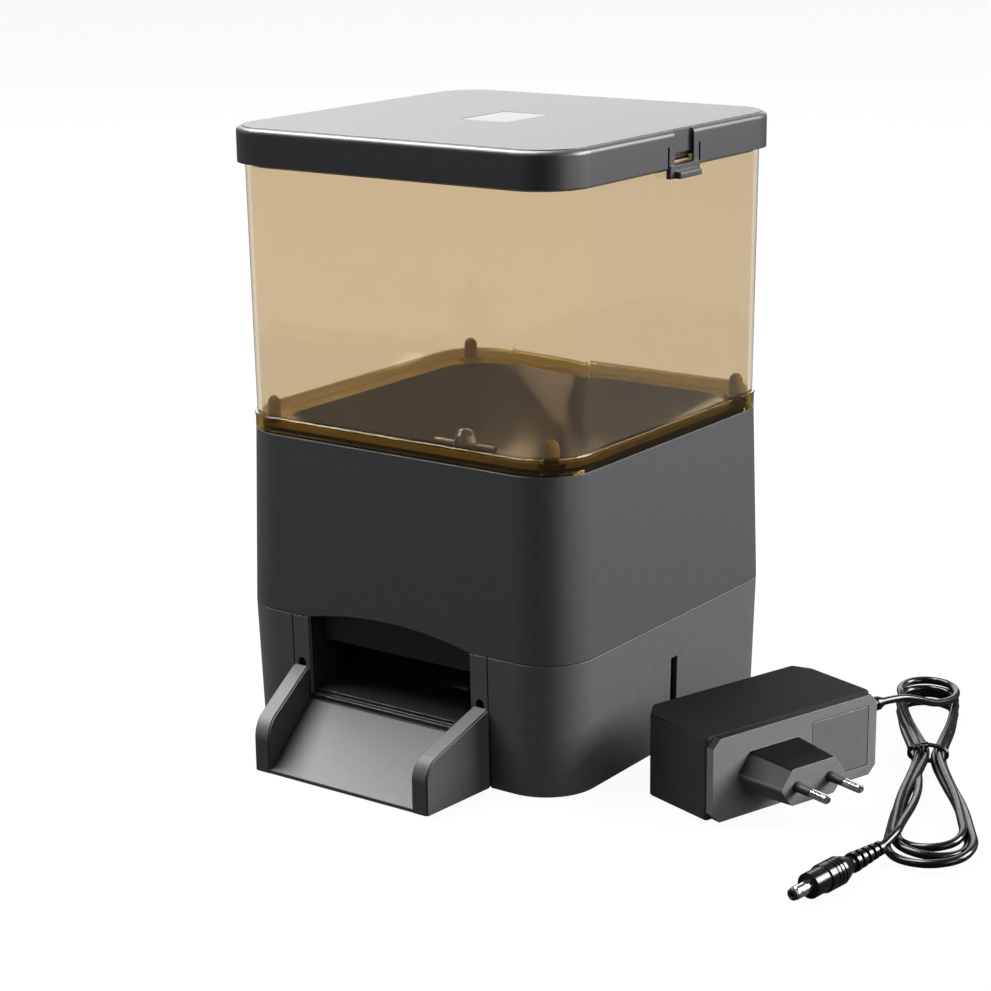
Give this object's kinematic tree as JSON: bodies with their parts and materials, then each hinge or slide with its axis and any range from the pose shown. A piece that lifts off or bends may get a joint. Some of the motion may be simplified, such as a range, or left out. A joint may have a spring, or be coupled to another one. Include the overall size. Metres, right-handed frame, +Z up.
{
  "type": "automatic pet feeder",
  "caption": "Square countertop pet feeder: latched lid, amber see-through hopper, dark body with motor-driven portioning rotor, lift-off feeding ramp, mains adapter and hank of cord.",
  "frame": {"origin": "centre of the feeder's footprint on the surface it stands on", "axes": "+Z up; the feeding ramp faces -Y and the adapter lies on the +X side"},
  "size_m": [0.3576, 0.247, 0.2817],
  "materials": {
    "shell_plastic": "fine texture",
    "seal_rubber": "soft",
    "plate_white": "gloss",
    "tank_tint": "clear amber tint, moulded plastic",
    "funnel_gloss": "gloss",
    "screw_steel": "zinc plated",
    "inner_plastic": "plain",
    "rotor_nylon": "natural nylon",
    "bush_brass": "turned",
    "motor_can": "drawn can",
    "foot_rubber": "soft",
    "board_green": "solder mask",
    "adapter_plastic": "fine texture",
    "button_rubber": "soft",
    "lens_clear": "clear",
    "pin_nickel": "nickel plated",
    "label_grey": "etched panel, no text",
    "cord_pvc": "gloss"
  },
  "bodies": {
    "root": {"hopper_tank": "tank_tint", "hopper_funnel": "funnel_gloss", "funnel_screws": "screw_steel", "body_shell": "shell_plastic", "mid_deck": "shell_plastic", "deck_screws": "screw_steel", "rotor_housing": "inner_plastic", "portion_baffle": "inner_plastic", "shaft_bush": "bush_brass", "gear_motor": "motor_can", "motor_bracket": "inner_plastic", "base_shell": "shell_plastic", "outlet_panel": "shell_plastic", "inner_chute": "funnel_gloss", "base_plate": "inner_plastic", "base_screws": "screw_steel", "rubber_feet": "foot_rubber", "control_board": "board_green", "board_components": "inner_plastic", "dc_jack": "adapter_plastic", "button_switch": "inner_plastic", "status_lens": "lens_clear", "adapter_case": "adapter_plastic", "adapter_face": "adapter_plastic", "mains_pins": "pin_nickel", "pin_sleeves": "adapter_plastic", "adapter_label": "label_grey", "adapter_strain_relief": "cord_pvc", "cord_lead": "cord_pvc", "cord_hank": "cord_pvc", "cord_tail": "cord_pvc", "cord_tie": "cord_pvc", "dc_plug_grip": "cord_pvc", "dc_plug_barrel": "pin_nickel", "dc_plug_insulator": "adapter_plastic"},
    "lid": {"lid_cover": "shell_plastic", "lid_seal": "seal_rubber", "lid_plate": "plate_white"},
    "latch_right": {"lid_latch_right": "shell_plastic"},
    "latch_left": {"lid_latch_left": "shell_plastic"},
    "rotor": {"portion_rotor": "rotor_nylon", "agitator": "rotor_nylon", "rotor_shaft": "screw_steel", "drive_gear": "rotor_nylon"},
    "pinion": {"motor_pinion": "bush_brass"},
    "ramp": {"feed_ramp": "shell_plastic"},
    "feed_button": {"feed_button": "button_rubber"}
  },
  "joints": [
    {"name": "lid_lift", "type": "slide", "parent": "root", "child": "lid", "axis": [0, 0, 1], "range_m": [0, 0.06]},
    {"name": "latch_right_flex", "type": "hinge", "parent": "lid", "child": "latch_right", "pos_m": [0.0922, 0.0036, 0.27455], "axis": [0, -1, 0], "range_deg": [0, 12], "stiffness_Nm_per_rad": 0.6},
    {"name": "latch_left_flex", "type": "hinge", "parent": "lid", "child": "latch_left", "pos_m": [-0.0922, 0.0036, 0.27455], "axis": [0, 1, 0], "range_deg": [0, 12], "stiffness_Nm_per_rad": 0.6},
    {"name": "rotor_spin", "type": "hinge", "parent": "root", "child": "rotor", "pos_m": [0, -0.033, 0.09], "axis": [0, 0, 1], "continuous": true},
    {"name": "pinion_spin", "type": "hinge", "parent": "root", "child": "pinion", "pos_m": [0, -0.0122, 0.068], "axis": [0, 0, 1], "continuous": true},
    {"name": "ramp_lift", "type": "slide", "parent": "root", "child": "ramp", "axis": [0, 0, 1], "range_m": [0, 0.0078]},
    {"name": "feed_button_press", "type": "slide", "parent": "root", "child": "feed_button", "axis": [0, -1, 0], "range_m": [0, 0.001], "stiffness_N_per_m": 400}
  ],
  "couplings": [
    {"joint": "pinion_spin", "follows": "rotor_spin", "ratio": -3.3333}
  ]
}
